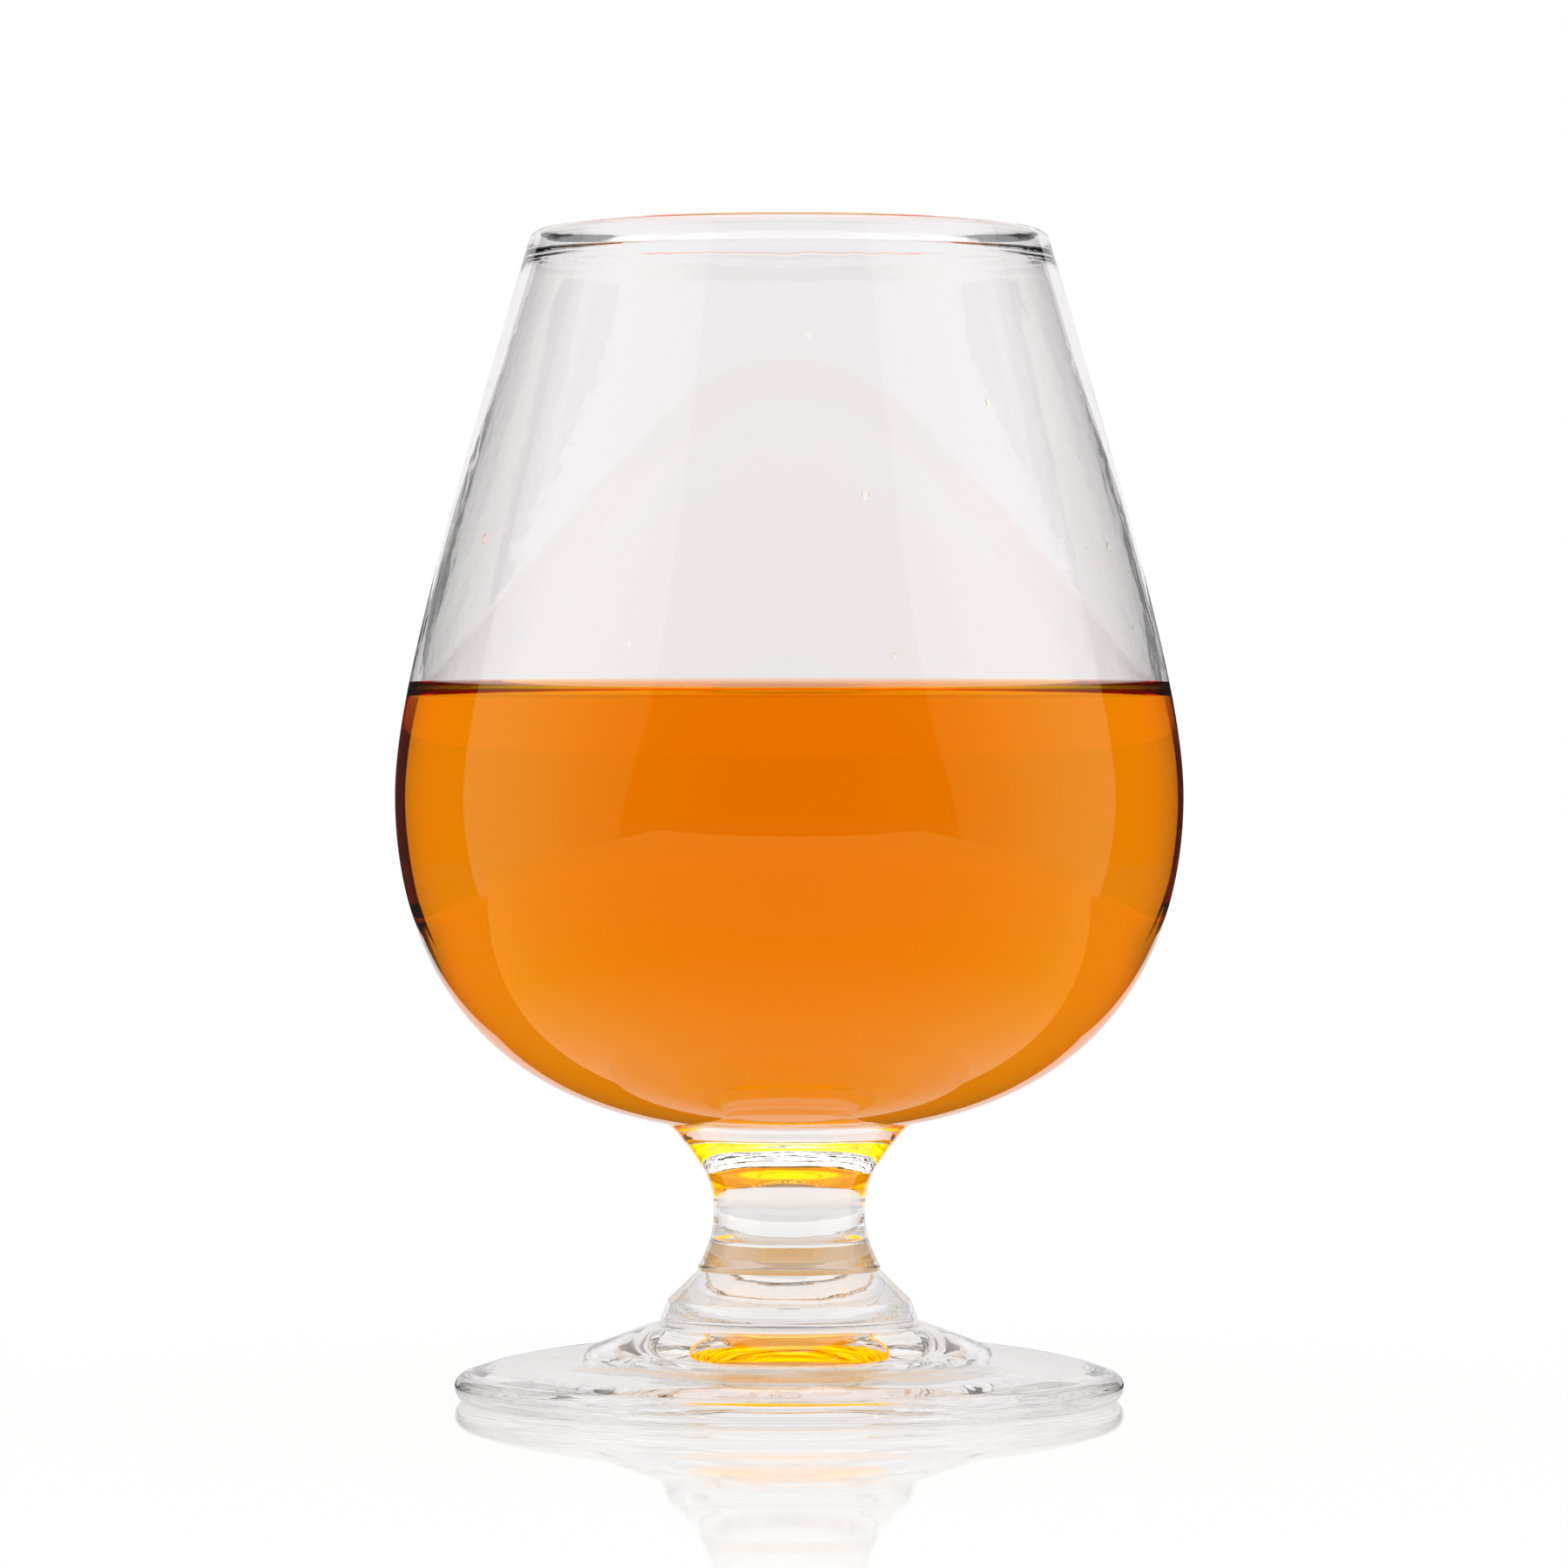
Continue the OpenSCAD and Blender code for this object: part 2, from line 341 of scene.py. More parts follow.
# Stem
# A short solid waist of pressed glass, hot-joined to the collar below and to the bowl above.
# It flares at both ends, with one pressed ring low down and a sharp ring under its neck.
joint_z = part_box("stem")[1].z / MM
stem_h = joint_z - foot_h
neck_r, waist_r, ring_r, ring_relief = 9.45, 8.6, 10.4, 0.2
neck_share, waist_share, ring_share, ring_band_share = 0.715, 0.51, 0.19, 0.02
neck_bend_shares, waist_bend_shares, flare_bend_shares = (0.64, 0.79), (1, 0.5), (0.55, 0.55)
stem_ripple_share, neck_ripple_share = 0.6, 0.4
flare_steps, waist_steps, neck_steps = 32, 24, 32
neck = Vector((neck_r, foot_h + neck_share * stem_h))
waist = Vector((waist_r, foot_h + waist_share * stem_h))
ring_z = foot_h + ring_share * stem_h
ring_band = ring_band_share * stem_h
ring_top = Vector((ring_r - ring_relief, ring_z + ring_band))
ring_base = Vector((ring_r, ring_z - ring_band))
joint = Vector((collar_r, joint_z))
flare = bend(collar_top, between(collar_top, ring_base, flare_bend_shares), ring_base, flare_steps)
below_waist = bend(ring_top, between(ring_top, waist, waist_bend_shares), waist, waist_steps)
above_waist = bend(waist, between(neck, waist, waist_bend_shares), neck, waist_steps)
under_bowl = bend(neck, between(neck, joint, neck_bend_shares), joint, neck_steps)
stem = turned(
    "stem_pressed",
    [
        ([Vector((0, foot_h)), collar_top], joint_face, 0),
        (flare + [Vector((ring_r, ring_z))], dry_face, stem_ripple_share),
        (below_waist + above_waist, dry_face, stem_ripple_share),
        (under_bowl, dry_face, neck_ripple_share),
        ([joint, Vector((0, joint_z))], joint_face, 0),
    ],
    (fused_glass, pressed_glass),
    ripple=(0.12, 7, 2.5, 1.4, 5),
)
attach(stem, "glass")
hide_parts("stem")

# Bowl
# A blown soda-lime glass bowl with an even wall that thickens towards the stem it is fused to.
# Its cut rim is melted back into a round bead.
rim_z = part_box("bowl")[1].z / MM
bowl_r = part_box("bowl")[1].x / MM
belly_rise, mouth_r, mouth_lean, cup_slope = 37.4, 29.7, math.radians(16.5), math.radians(10)
wall, base_wall, bead_swell, bead_reach = 1.3, 3.0, 0.9, 3.2
mouth_share, shoulder_share, belly_share, cup_share, wave_share = 0.66, 0.14, 0.29, 0.9, 2.5
bead_ripple_share, rim_crowding, halvings = 0.3, 1.5, 40
cup_steps, filled_steps, wall_steps, bead_steps, inside_steps, floor_steps = 64, 16, 48, 36, 80, 24
belly = Vector((bowl_r, joint_z + belly_rise))
bead_r = (wall + bead_swell) / 2
mouth = Vector((mouth_r, rim_z - bead_r * (1 - math.sin(mouth_lean))))
lean = Vector((math.sin(mouth_lean), -math.cos(mouth_lean)))
cup_curve = [
    joint,
    joint + Vector((math.cos(cup_slope), math.sin(cup_slope))) * cup_share * (belly.x - joint.x),
    belly - Vector((0, belly_share * belly_rise)),
    belly,
]
wall_rise = mouth.y - belly.y
wall_curve = [
    belly,
    belly + Vector((0, shoulder_share * wall_rise)),
    mouth + lean * mouth_share * wall_rise,
    mouth,
]


def inward(p, t):
    """The unit normal of a curve, towards the inside of the bowl."""
    u = 1 - t
    way = (p[1] - p[0]) * u * u + (p[2] - p[1]) * 2 * u * t + (p[3] - p[2]) * t * t
    return Vector((-way.y, way.x)).normalized()


def cup_inside(t, gap=0):
    """A point on the inside of the bowl below its widest ring."""
    return cubic(cup_curve, t) + inward(cup_curve, t) * (wall + (base_wall - wall) * (1 - t) ** 2 + gap)


def wall_inside(t, gap=0):
    """A point on the inside of the bowl above its widest ring."""
    below = min(1, (mouth - cubic(wall_curve, t)).length / bead_reach)
    swell = bead_swell * (1 - below) ** 2 * (1 + 2 * below)
    return cubic(wall_curve, t) + inward(wall_curve, t) * (wall + swell + gap)


def wall_at(z, gap=0):
    """How far along the wall's curve its inside reaches a height."""
    low, high = 0, 1
    for _ in range(halvings):
        middle = (low + high) / 2
        low, high = (middle, high) if wall_inside(middle, gap).y < z else (low, middle)
    return (low + high) / 2


def inside_floor(gap=0):
    """Points from the axis out along the floor of the bowl."""
    end = cup_inside(0, gap)
    z = end.y - math.tan(cup_slope) * end.x / 2
    return bend(Vector((0, z)), Vector((end.x / 2, z)), end, floor_steps)


touch_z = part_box("brandy")[1].z / MM
touch = wall_at(touch_z)
bead_centre = mouth - Vector((math.cos(mouth_lean), math.sin(mouth_lean))) * bead_r
bead_start = math.degrees(mouth_lean)
bead = arc(bead_centre, bead_r, bead_start, bead_start + 180, bead_steps)
# The dry wall's inside, with points close together at the rim and its waves strongest half way down.
dry_inside = [
    ([wall_inside(1 + (touch - 1) * t**rim_crowding)], inside_face, wave_share * 4 * t * (1 - t))
    for t in evenly(inside_steps)[1:]
]
# Blown soda-lime glass is clear, with slow upright waves.
blown_glass = clear("soda_lime_glass_blown", glass_ior, marks=(0.006, 6, 14))
# Where brandy wets the glass, light hardly bends, so the wall all but vanishes.
wetted_glass = clear("soda_lime_glass_wetted", glass_ior / brandy_ior)
# The same glass over the brandy, with a warm amber tint painted on its glints.
filled_glass = clear("soda_lime_glass_filled", glass_ior, marks=(0.006, 6, 14))
# The inside of the dry wall, where bumps break up the mirror image of the drink and a painted grey tint on
# its glints makes it faint.
inside_glass = clear("soda_lime_glass_inside", glass_ior, marks=(0.05, 5, 7))
# Painted tints on the glints: warm amber over the brandy, and grey on the dry inside, which dims its
# reflections.
for material, tint in ((filled_glass, "#fff064"), (inside_glass, "#808080")):
    material.node_tree.nodes["Principled BSDF"].inputs["Specular Tint"].default_value = linear(tint)
bowl = turned(
    "bowl_blown",
    [
        ([Vector((0, joint_z)), joint], joint_face, 0),
        ([cubic(cup_curve, t) for t in evenly(cup_steps)], filled_face, 1),
        ([cubic(wall_curve, touch * t) for t in evenly(filled_steps)], filled_face, 1),
        ([cubic(wall_curve, touch + (1 - touch) * t) for t in evenly(wall_steps)], dry_face, 1),
        (bead, dry_face, bead_ripple_share),
        *dry_inside,
        ([wall_inside(touch * (1 - t)) for t in evenly(filled_steps)], wet_face, 0),
        ([cup_inside(1 - t) for t in evenly(cup_steps)], wet_face, 0),
        (inside_floor()[::-1], wet_face, 0),
    ],
    (fused_glass, blown_glass, wetted_glass, filled_glass, inside_glass),
    ripple=(0.03, 26, 1, 1.5, 8),
)
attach(bowl, "glass")
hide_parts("bowl")

# Brandy
# The drink itself, a clear amber liquid that fills the lower half of the bowl.
# It wets the glass, so its edge creeps a little way up the wall.
capillary, film_gap, brandy_depth = 1.8, 0.03, 30 * MM
creep_steep, creep_flat, creep_steps = math.radians(88), math.radians(3), 40
reach = wall_at(touch_z, film_gap)


def creep(slope):
    """Where the creeping surface has a slope: distance along the level, and height above it."""
    along = math.log(math.tan(slope / 4)) + 2 * math.cos(slope / 2)
    up = 2 * (math.sin(slope / 2) - math.sin(creep_flat / 2))
    return Vector((along, up)) * capillary


# Brandy is clear, and the amber deepens as light goes further through it.
# Against the wall it bends no light, because the wall's own wet faces do that.
brandy_liquid = clear("brandy", brandy_ior)
tree = brandy_liquid.node_tree
open_face = add(tree, "ShaderNodeAttribute", attribute_name="face").outputs["Fac"]
bending = add(
    tree, "ShaderNodeMath", {0: open_face, 1: brandy_ior - fused_ior, 2: fused_ior}, operation="MULTIPLY_ADD"
).outputs[0]
tree.links.new(bending, tree.nodes["Principled BSDF"].inputs["IOR"])
lost = [-math.log(share) / brandy_depth for share in linear("#fbc501")[:3]]
kept = [1 - loss / max(lost) for loss in lost] + [1]
absorbed = add(tree, "ShaderNodeVolumeAbsorption", {"Color": kept, "Density": max(lost)})
tree.links.new(absorbed.outputs[0], tree.nodes["Material Output"].inputs["Volume"])
slopes = [creep_steep + (creep_flat - creep_steep) * t for t in evenly(creep_steps)]
edge = wall_inside(reach, film_gap) - creep(creep_steep)
surface = [edge + creep(slope) for slope in slopes]
brandy = turned(
    "brandy_fill",
    [
        (inside_floor(film_gap), joint_face, 0),
        ([cup_inside(t, film_gap) for t in evenly(cup_steps)], joint_face, 0),
        ([wall_inside(reach * t, film_gap) for t in evenly(filled_steps)], joint_face, 0),
        (surface, dry_face, 0),
        ([Vector((0, surface[-1].y))], dry_face, 0),
    ],
    (brandy_liquid, brandy_liquid),
)
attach(brandy, "drink")
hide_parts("brandy")

# Drops
# A few small drops of the brandy that cling to the inside of the glass, above the liquid line.
# Most are tiny, and each hangs a little taller than it is wide.
drop_low, drop_high, drop_small, drop_large, drop_tall, drop_gap = 1.2, 42, 0.12, 0.42, 1.5, 0.02
drop_bulge_share, drop_rarity, drops_per_area, drop_seed = 0.45, 3.0, 2600, 4
drop_rings, drop_segments, splash_steps = 10, 24, 24


def scatter_tree():
    """Geometry nodes that set copies of an object on a mesh at random, each of its own size."""
    tree = bpy.data.node_groups.new("scattered drops", "GeometryNodeTree")
    for name, kind in (
        ("Glass", "Geometry"),
        ("Drop", "Object"),
        ("Per Area", "Float"),
        ("Small", "Float"),
        ("Large", "Float"),
        ("Tall", "Float"),
        ("Rarity", "Float"),
        ("Seed", "Int"),
        ("Liquid", "Material"),
    ):
        tree.interface.new_socket(name=name, in_out="INPUT", socket_type="NodeSocket" + kind)
    tree.interface.new_socket(name="Drops", in_out="OUTPUT", socket_type="NodeSocketGeometry")
    given = add(tree, "NodeGroupInput").outputs
    points = add(
        tree,
        "GeometryNodeDistributePointsOnFaces",
        {"Mesh": given["Glass"], "Density": given["Per Area"], "Seed": given["Seed"]},
    ).outputs
    chance = add(tree, "FunctionNodeRandomValue", {"Seed": given["Seed"]}, data_type="FLOAT").outputs["Value"]
    chance = add(tree, "ShaderNodeMath", {0: chance, 1: given["Rarity"]}, operation="POWER").outputs[0]
    size = add(
        tree, "ShaderNodeMapRange", {"Value": chance, "To Min": given["Small"], "To Max": given["Large"]}
    ).outputs[0]
    tall = add(tree, "ShaderNodeMath", {0: size, 1: given["Tall"]}, operation="MULTIPLY").outputs[0]
    sizes = add(tree, "ShaderNodeCombineXYZ", {"X": size, "Y": tall, "Z": size}).outputs[0]
    drop = add(tree, "GeometryNodeObjectInfo", {"Object": given["Drop"]}).outputs["Geometry"]
    mesh = add(
        tree,
        "GeometryNodeInstanceOnPoints",
        {"Points": points["Points"], "Instance": drop, "Rotation": points["Rotation"], "Scale": sizes},
    ).outputs[0]
    mesh = add(tree, "GeometryNodeRealizeInstances", {"Geometry": mesh}).outputs[0]
    mesh = add(tree, "GeometryNodeSetMaterial", {"Geometry": mesh, "Material": given["Liquid"]}).outputs[0]
    add(tree, "NodeGroupOutput", {"Drops": mesh})
    return tree


quarter = [math.pi / 2 * t for t in evenly(drop_rings)]
cap = [Vector((math.cos(a), drop_gap + drop_bulge_share * math.sin(a))) for a in quarter]
drop = turned(
    "drop",
    [([Vector((0, drop_gap)), cap[0]], joint_face, 0), (cap, dry_face, 0)],
    (brandy_liquid, brandy_liquid),
    segments=drop_segments,
)
splashed = [wall_at(touch_z + drop_high + (drop_low - drop_high) * t) for t in evenly(splash_steps)]
drops = turned("brandy_drops", [([wall_inside(t) for t in splashed], inside_face, 0)], ())
settings = {
    "Drop": drop,
    "Per Area": drops_per_area,
    "Small": drop_small,
    "Large": drop_large,
    "Tall": drop_tall,
    "Rarity": drop_rarity,
    "Seed": drop_seed,
    "Liquid": brandy_liquid,
}
plain_mesh(drops, scatter_tree(), settings)
bpy.data.objects.remove(drop)
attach(drops, "glass")

# Table
# A board of glossy white acrylic that the glass stands on, wide enough to have no edge in view.
# It holds the glass's shadow and mirror image; the warm light that falls through the brandy is a painted
# amber pool on it.
table_reach, table_drop, table_roughness = 3, 0.05 * MM, 0.03
board_front, board_rear, board_side, board_seen = -0.40, 0.02, 0.30, 0.55
amber_in, amber_out, glint_in, glint_out = 0.012, 0.036, 0.09, 0.40
lit_share, lit_in_glass_share = 0.85, 0.5
mirror_front, mirror_back, mirror_front_share, mirror_back_share = -0.17, -0.035, 0.15, 0.55
mesh = bpy.data.meshes.new("table")
corners = [(-1, -1), (1, -1), (1, 1), (-1, 1)]
mesh.from_pydata([(x * table_reach, y * table_reach, -table_drop) for x, y in corners], [], [(0, 1, 2, 3)])
table = bpy.data.objects.new("table", mesh)
bpy.context.scene.collection.objects.link(table)
# White acrylic has an even, pale body under a polished face.
acrylic = bpy.data.materials.new("white_acrylic")
acrylic.use_nodes = True
tree = acrylic.node_tree
tree.nodes.clear()
path = add(tree, "ShaderNodeLightPath").outputs
spot = add(tree, "ShaderNodeTexCoord").outputs["Object"]
place = add(tree, "ShaderNodeSeparateXYZ", {0: spot}).outputs
# Glass mirrors only the board in front of it. It shows the board near by, but not far aside at the rear.
sideways = add(tree, "ShaderNodeMath", {0: place["X"]}, operation="ABSOLUTE").outputs[0]
on_side = add(tree, "ShaderNodeMath", {0: sideways, 1: board_side}, operation="LESS_THAN").outputs[0]
in_front = add(tree, "ShaderNodeMath", {0: place["Y"], 1: board_front}, operation="GREATER_THAN").outputs[0]
at_rear = add(tree, "ShaderNodeMath", {0: place["Y"], 1: board_rear}, operation="LESS_THAN").outputs[0]
on_board = on_side
for limit in (in_front, at_rear):
    on_board = add(tree, "ShaderNodeMath", {0: on_board, 1: limit}, operation="MULTIPLY").outputs[0]
away = add(tree, "ShaderNodeVectorMath", {0: spot}, operation="LENGTH").outputs["Value"]
near_by = add(tree, "ShaderNodeMath", {0: away, 1: board_seen}, operation="LESS_THAN").outputs[0]
forward = add(tree, "ShaderNodeMath", {0: place["Y"], 1: 0.0}, operation="LESS_THAN").outputs[0]
aside = add(tree, "ShaderNodeMath", {0: on_side, 1: forward}, operation="MAXIMUM").outputs[0]
near_by = add(tree, "ShaderNodeMath", {0: near_by, 1: aside}, operation="MULTIPLY").outputs[0]
shown = add(
    tree, "ShaderNodeMix", {0: path["Is Transmission Ray"], 2: on_board, 3: near_by}, data_type="FLOAT"
).outputs[0]
shown = add(
    tree, "ShaderNodeMix", {0: path["Is Singular Ray"], 2: 1.0, 3: shown}, data_type="FLOAT"
).outputs[0]
# In the glass the board shows a painted amber pool of light under the stem, and further out a painted gold
# glint where the brandy mirrors it.
mirrored = add(
    tree,
    "ShaderNodeMath",
    {0: path["Is Singular Ray"], 1: path["Is Transmission Ray"]},
    operation="SUBTRACT",
).outputs[0]
mirrored = add(
    tree,
    "ShaderNodeMapRange",
    {"Value": away, "From Min": foot_r * MM, "From Max": glint_in, "To Max": mirrored},
).outputs[0]
lit = linear("#ffffff")
# Painted light on the board: a gold glint for mirrored rays, then an amber pool under the stem.
for start, end, ray, tint in (
    (glint_out, glint_in, mirrored, "#ffd873"),
    (amber_out, amber_in, path["Is Singular Ray"], "#f7c98c"),
):
    warm = add(
        tree, "ShaderNodeMapRange", {"Value": away, "From Min": start, "From Max": end, "To Max": 1.0}
    ).outputs[0]
    warm = add(tree, "ShaderNodeMath", {0: warm, 1: ray}, operation="MULTIPLY").outputs[0]
    lit = add(tree, "ShaderNodeMix", {0: warm, 6: lit, 7: linear(tint)}, data_type="RGBA").outputs[2]
glow = add(tree, "ShaderNodeEmission", {"Color": lit, "Strength": 1.0}).outputs[0]
matt = add(tree, "ShaderNodeBsdfDiffuse", {"Color": lit}).outputs[0]
seen, seen_in_glass = [
    add(tree, "ShaderNodeMath", {0: path[ray], 1: share}, operation="MULTIPLY").outputs[0]
    for ray, share in (("Is Camera Ray", lit_share), ("Is Singular Ray", lit_in_glass_share))
]
glowing = add(tree, "ShaderNodeMath", {0: seen, 1: seen_in_glass}, operation="MAXIMUM").outputs[0]
body = add(tree, "ShaderNodeMixShader", {0: glowing, 1: matt, 2: glow}).outputs[0]
shine = add(
    tree, "ShaderNodeBsdfGlossy", {"Color": linear("#ffffff"), "Roughness": table_roughness}
).outputs[0]
mirror = add(
    tree,
    "ShaderNodeMapRange",
    {
        "Value": place["Y"],
        "From Min": mirror_front,
        "From Max": mirror_back,
        "To Min": mirror_front_share,
        "To Max": mirror_back_share,
    },
).outputs[0]
mirror = add(tree, "ShaderNodeMath", {0: mirror, 1: path["Is Camera Ray"]}, operation="MULTIPLY").outputs[0]
board = add(tree, "ShaderNodeMixShader", {0: mirror, 1: body, 2: shine}).outputs[0]
air = add(tree, "ShaderNodeBsdfTransparent").outputs[0]
finish = add(tree, "ShaderNodeMixShader", {0: shown, 1: air, 2: board}).outputs[0]
add(tree, "ShaderNodeOutputMaterial", {"Surface": finish})
mesh.materials.append(acrylic)

# Card
# A white card that stands close behind the glass, so that its light fills the brandy but not the rims.
# Its wings show only through the glass, and its high wings only through the brandy.
card_back, card_level, card_foot_level, card_foot_low, card_foot_high = 0.105, 0.95, 0.84, 0.02, 0.05
warm_in, warm_out, warm_lift_share, faces_of_dry_bowl = 0.015, 0.05, 0.2, 4.5
sheet_low = [(0.074, 0), (0.074, 0.04), (0.05, 0.055), (0.05, 0.1)]
sheet_high = [(0.074, 0.1), (0.074, 0.115), (0.1, 0.145), (0.1, 0.32)]
wing_heights = (0, 0.02, 0.035, 0.07, 0.09, 0.1)
wing_left = (0.16, 0.16, 0.1, 0.112, 0.108, 0.074)
wing_right = (0.16, 0.16, 0.08, 0.088, 0.085, 0.074)
high_wing = sheet_high + [(0.2, 0.32), (0.2, 0.1)]
sheet_kind, wing_kind, high_kind = range(3)
mesh = bpy.data.meshes.new("card")
sheet = sheet_low + sheet_high
shapes = [(sheet_kind, sheet + [(-x, z) for x, z in reversed(sheet)])]
for side, widths in ((-1, wing_left), (1, wing_right)):
    wing = list(zip(widths, wing_heights)) + sheet_low[::-1]
    shapes.append((wing_kind, [(side * x, z) for x, z in wing]))
    shapes.append((high_kind, [(side * x, z) for x, z in high_wing]))
corners, polygons = [], []
for _, shape in shapes:
    polygons.append(range(len(corners), len(corners) + len(shape)))
    corners += [(x, card_back, z) for x, z in shape]
mesh.from_pydata(corners, [], polygons)
mesh.polygons.foreach_set("material_index", [kind for kind, _ in shapes])
card = bpy.data.objects.new("card", mesh)
bpy.context.scene.collection.objects.link(card)
# White card is evenly lit, dimmer towards its foot and warmer at its sides, as the brandy shows it.
for name in ("white_card", "white_card_wing", "white_card_high"):
    paper = bpy.data.materials.new(name)
    paper.use_nodes = True
    tree = paper.node_tree
    tree.nodes.clear()
    path = add(tree, "ShaderNodeLightPath").outputs
    faces = path["Transmission Depth"]
    filled = add(
        tree, "ShaderNodeMath", {0: faces, 1: faces_of_dry_bowl}, operation="GREATER_THAN"
    ).outputs[0]
    through = path["Is Transmission Ray"]
    limit = {"white_card": 1.0, "white_card_wing": through, "white_card_high": filled}[name]
    shown = add(
        tree, "ShaderNodeMath", {0: path["Is Singular Ray"], 1: limit}, operation="MULTIPLY"
    ).outputs[0]
    spot = add(tree, "ShaderNodeTexCoord").outputs["Object"]
    place = add(tree, "ShaderNodeSeparateXYZ", {0: spot}).outputs
    sideways = add(tree, "ShaderNodeMath", {0: place["X"]}, operation="ABSOLUTE").outputs[0]
    aside = add(
        tree,
        "ShaderNodeMapRange",
        {"Value": sideways, "From Min": warm_in, "From Max": warm_out, "To Max": filled},
    ).outputs[0]
    warm = add(
        tree, "ShaderNodeMix", {0: aside, 6: linear("#ffffff"), 7: linear("#ffebe4")}, data_type="RGBA"
    ).outputs[2]
    lit = add(
        tree, "ShaderNodeMix", {0: filled, 6: linear("#f8f6f7"), 7: warm}, data_type="RGBA"
    ).outputs[2]
    level = add(
        tree,
        "ShaderNodeMapRange",
        {
            "Value": place["Z"],
            "From Min": card_foot_low,
            "From Max": card_foot_high,
            "To Min": card_foot_level,
            "To Max": card_level,
        },
    ).outputs[0]
    lift = add(
        tree, "ShaderNodeMath", {0: aside, 1: warm_lift_share, 2: 1.0}, operation="MULTIPLY_ADD"
    ).outputs[0]
    level = add(tree, "ShaderNodeMath", {0: level, 1: lift}, operation="MULTIPLY").outputs[0]
    glow = add(tree, "ShaderNodeEmission", {"Color": lit, "Strength": level}).outputs[0]
    air = add(tree, "ShaderNodeBsdfTransparent").outputs[0]
    finish = add(tree, "ShaderNodeMixShader", {0: shown, 1: air, 2: glow}).outputs[0]
    add(tree, "ShaderNodeOutputMaterial", {"Surface": finish})
    mesh.materials.append(paper)
card.visible_camera = card.visible_diffuse = card.visible_shadow = False

# Flags
# A black board on either side of the card, which shows only straight through the brandy.
# It draws the dark outline of the brandy there, and its edges are soft, so the outline fades.
flag_left, flag_right, flag_front, flag_back, flag_low, flag_high = 0.116, 0.092, 0.048, 0.14, 0.029, 0.125
flag_soft, flag_level, unreflected = 0.025, 0.02, 0.5
mesh = bpy.data.meshes.new("flags")
corners = []
for x in (-flag_left, flag_right):
    corners += [(x, flag_front, flag_low), (x, flag_back, flag_low)]
    corners += [(x, flag_back, flag_high), (x, flag_front, flag_high)]
mesh.from_pydata(corners, [], [(0, 1, 2, 3), (4, 5, 6, 7)])
flags = bpy.data.objects.new("flags", mesh)
bpy.context.scene.collection.objects.link(flags)
# Black board gives back next to no light.
black = bpy.data.materials.new("black_board")
black.use_nodes = True
tree = black.node_tree
tree.nodes.clear()
path = add(tree, "ShaderNodeLightPath").outputs
faces = path["Transmission Depth"]
shown = add(tree, "ShaderNodeMath", {0: faces, 1: faces_of_dry_bowl}, operation="GREATER_THAN").outputs[0]
straight = add(
    tree, "ShaderNodeMath", {0: path["Glossy Depth"], 1: unreflected}, operation="LESS_THAN"
).outputs[0]
spot = add(tree, "ShaderNodeTexCoord").outputs["Object"]
place = add(tree, "ShaderNodeSeparateXYZ", {0: spot}).outputs
edges = [
    add(
        tree,
        "ShaderNodeMapRange",
        {"Value": way, "From Min": edge, "From Max": edge + soft, "To Max": 1.0},
    ).outputs[0]
    for way, edge, soft in (
        (place["Y"], flag_front, flag_soft),
        (place["Z"], flag_low, flag_soft),
        (place["Z"], flag_high, -flag_soft),
    )
]
for limit in (straight, *edges, path["Is Singular Ray"], path["Is Transmission Ray"]):
    shown = add(tree, "ShaderNodeMath", {0: shown, 1: limit}, operation="MULTIPLY").outputs[0]
glow = add(tree, "ShaderNodeEmission", {"Color": linear("#ffffff"), "Strength": flag_level}).outputs[0]
air = add(tree, "ShaderNodeBsdfTransparent").outputs[0]
finish = add(tree, "ShaderNodeMixShader", {0: shown, 1: air, 2: glow}).outputs[0]
add(tree, "ShaderNodeOutputMaterial", {"Surface": finish})
mesh.materials.append(black)
flags.visible_camera = flags.visible_diffuse = flags.visible_shadow = False

# Studio
# A tall softbox on either side of the glass and soft light above it, in a room that is white all round.
# Only light that the glass has mirrored on its way finds the room dark in front and behind.
# Angles are bearings in degrees from straight behind the glass, or heights above the level.
softbox_level, overhead_level, skylight_level = 1.0, 1.25, 2.4
softbox_lean_share, softbox_front_fade, softbox_rear_fade = 0.28, 0.4, 0.3
room_level, behind_level, rear_level, surround_level = 0.02, 0.28, 0.3, 0.92
softbox_rear_edge, softbox_front_edge, softbox_low_edge = (70.5, 71.5), (133, 131), (-18, -16)
softbox_front_fall, softbox_rear_fall = (100, 131), (95, 71)
overhead_edge, skylight_edge = (38, 50), (56, 64)
behind_edge, rear_edge, rear_low_edge = (48, 30), (72, 68), (14, 24)
light_bounces = 56
world = bpy.data.worlds.new("studio")
world.use_nodes = True
tree = world.node_tree
tree.nodes.clear()
path = add(tree, "ShaderNodeLightPath").outputs
spot = add(tree, "ShaderNodeTexCoord").outputs["Generated"]
way = add(tree, "ShaderNodeSeparateXYZ", {0: spot}).outputs
sideways = add(tree, "ShaderNodeMath", {0: way["X"]}, operation="ABSOLUTE").outputs[0]
bearing = add(tree, "ShaderNodeMath", {0: sideways, 1: way["Y"]}, operation="ARCTAN2").outputs[0]
height = add(tree, "ShaderNodeMath", {0: way["Z"]}, operation="ARCSINE").outputs[0]


def ramp(value, edge, top=1.0):
    """Rises from nothing to a top level across an edge, between two angles in degrees."""
    start, end = [math.radians(angle) for angle in edge]
    return add(
        tree,
        "ShaderNodeMapRange",
        {"Value": value, "From Min": start, "From Max": end, "To Max": top},
        interpolation_type="SMOOTHSTEP",
    ).outputs[0]


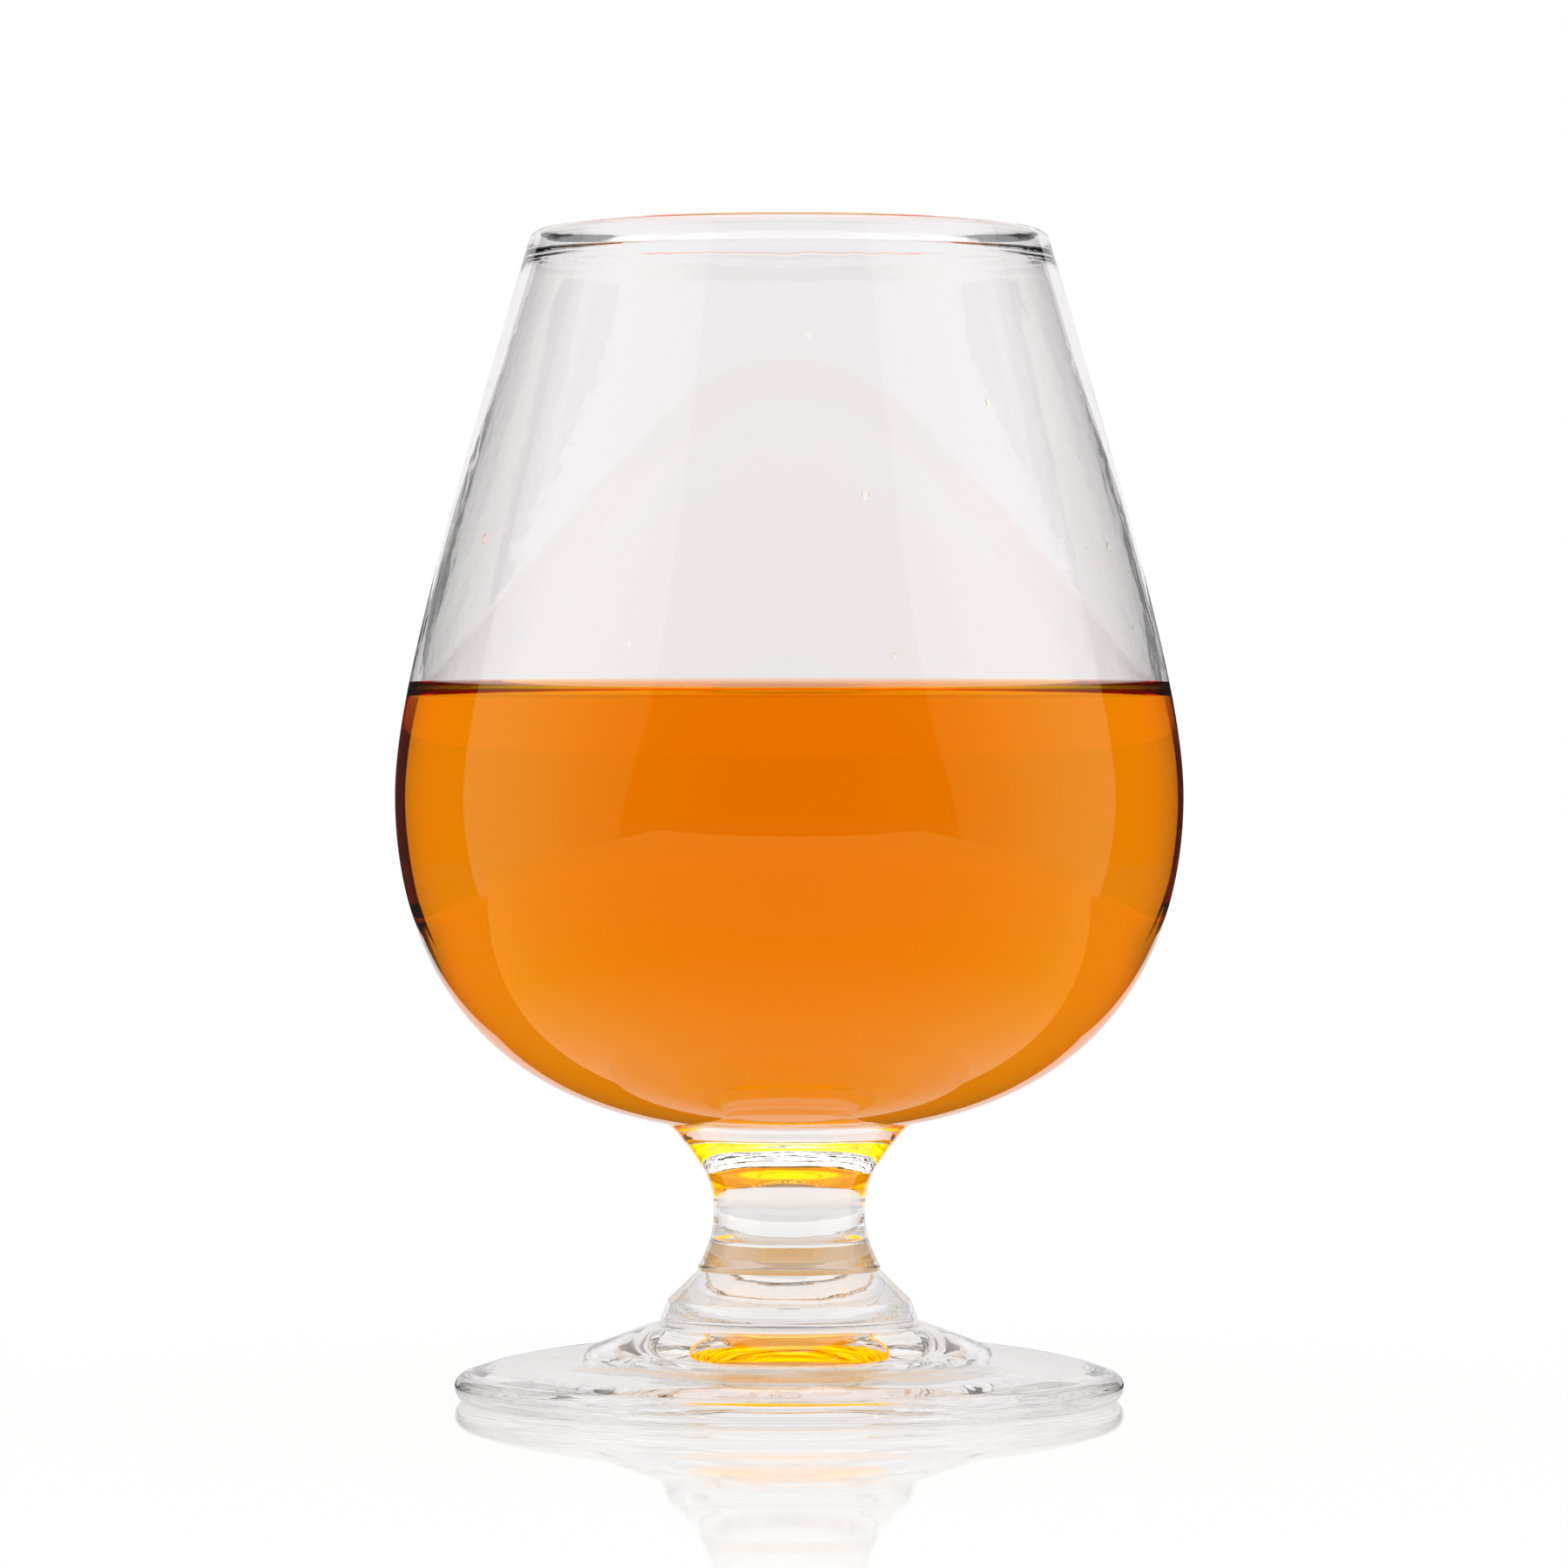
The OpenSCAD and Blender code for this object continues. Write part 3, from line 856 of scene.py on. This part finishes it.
leaning = add(
    tree, "ShaderNodeMath", {0: height, 1: -softbox_lean_share, 2: bearing}, operation="MULTIPLY_ADD"
).outputs[0]
softbox = ramp(bearing, softbox_rear_edge, softbox_level)
for limit in (ramp(leaning, softbox_front_edge), ramp(height, softbox_low_edge)):
    softbox = add(tree, "ShaderNodeMath", {0: softbox, 1: limit}, operation="MULTIPLY").outputs[0]
for way_round, fall, fade in (
    (leaning, softbox_front_fall, softbox_front_fade),
    (bearing, softbox_rear_fall, softbox_rear_fade),
):
    dimmed = ramp(way_round, fall, fade)
    remaining = add(tree, "ShaderNodeMath", {0: 1.0, 1: dimmed}, operation="SUBTRACT").outputs[0]
    softbox = add(tree, "ShaderNodeMath", {0: softbox, 1: remaining}, operation="MULTIPLY").outputs[0]
overhead = ramp(height, overhead_edge, overhead_level)
skylight = ramp(height, skylight_edge, skylight_level)
through = path["Is Transmission Ray"]
behind = ramp(bearing, behind_edge, behind_level)
behind = add(tree, "ShaderNodeMath", {0: behind, 1: through}, operation="MULTIPLY").outputs[0]
surround = add(
    tree, "ShaderNodeMath", {0: path["Glossy Depth"], 1: unreflected}, operation="LESS_THAN"
).outputs[0]
for share in (through, surround_level):
    surround = add(tree, "ShaderNodeMath", {0: surround, 1: share}, operation="MULTIPLY").outputs[0]
rear = ramp(bearing, rear_edge, rear_level)
rear_low = ramp(height, rear_low_edge)
rear = add(tree, "ShaderNodeMath", {0: rear, 1: rear_low}, operation="MULTIPLY").outputs[0]
room = softbox
for light in (overhead, skylight, behind, surround, rear, room_level):
    room = add(tree, "ShaderNodeMath", {0: room, 1: light}, operation="MAXIMUM").outputs[0]
bright = add(
    tree, "ShaderNodeMix", {0: path["Is Singular Ray"], 2: 1.0, 3: room}, data_type="FLOAT"
).outputs[0]
shown = add(tree, "ShaderNodeBackground", {"Color": linear("#ffffff"), "Strength": bright}).outputs[0]
add(tree, "ShaderNodeOutputWorld", {"Surface": shown})
scene = bpy.context.scene
scene.world = world
scene.view_settings.view_transform = "Standard"
for limit in ("max_bounces", "transmission_bounces", "transparent_max_bounces", "glossy_bounces"):
    setattr(scene.cycles, limit, light_bounces)

# Camera
# A long lens level with the brandy, as the photograph was taken.
# It looks straight along +Y, with the glass upright in the middle of the picture.
camera_back, camera_height, camera_aside = 0.790, 0.0703, -0.0006
sensor_width, focal_length = 36, 158.7
lens = bpy.data.cameras.new("camera")
lens.sensor_width, lens.lens = sensor_width, focal_length
camera = bpy.data.objects.new("camera", lens)
camera.location = (camera_aside, -camera_back, camera_height)
camera.rotation_euler = (math.radians(90), 0, 0)
scene.collection.objects.link(camera)
scene.camera = camera
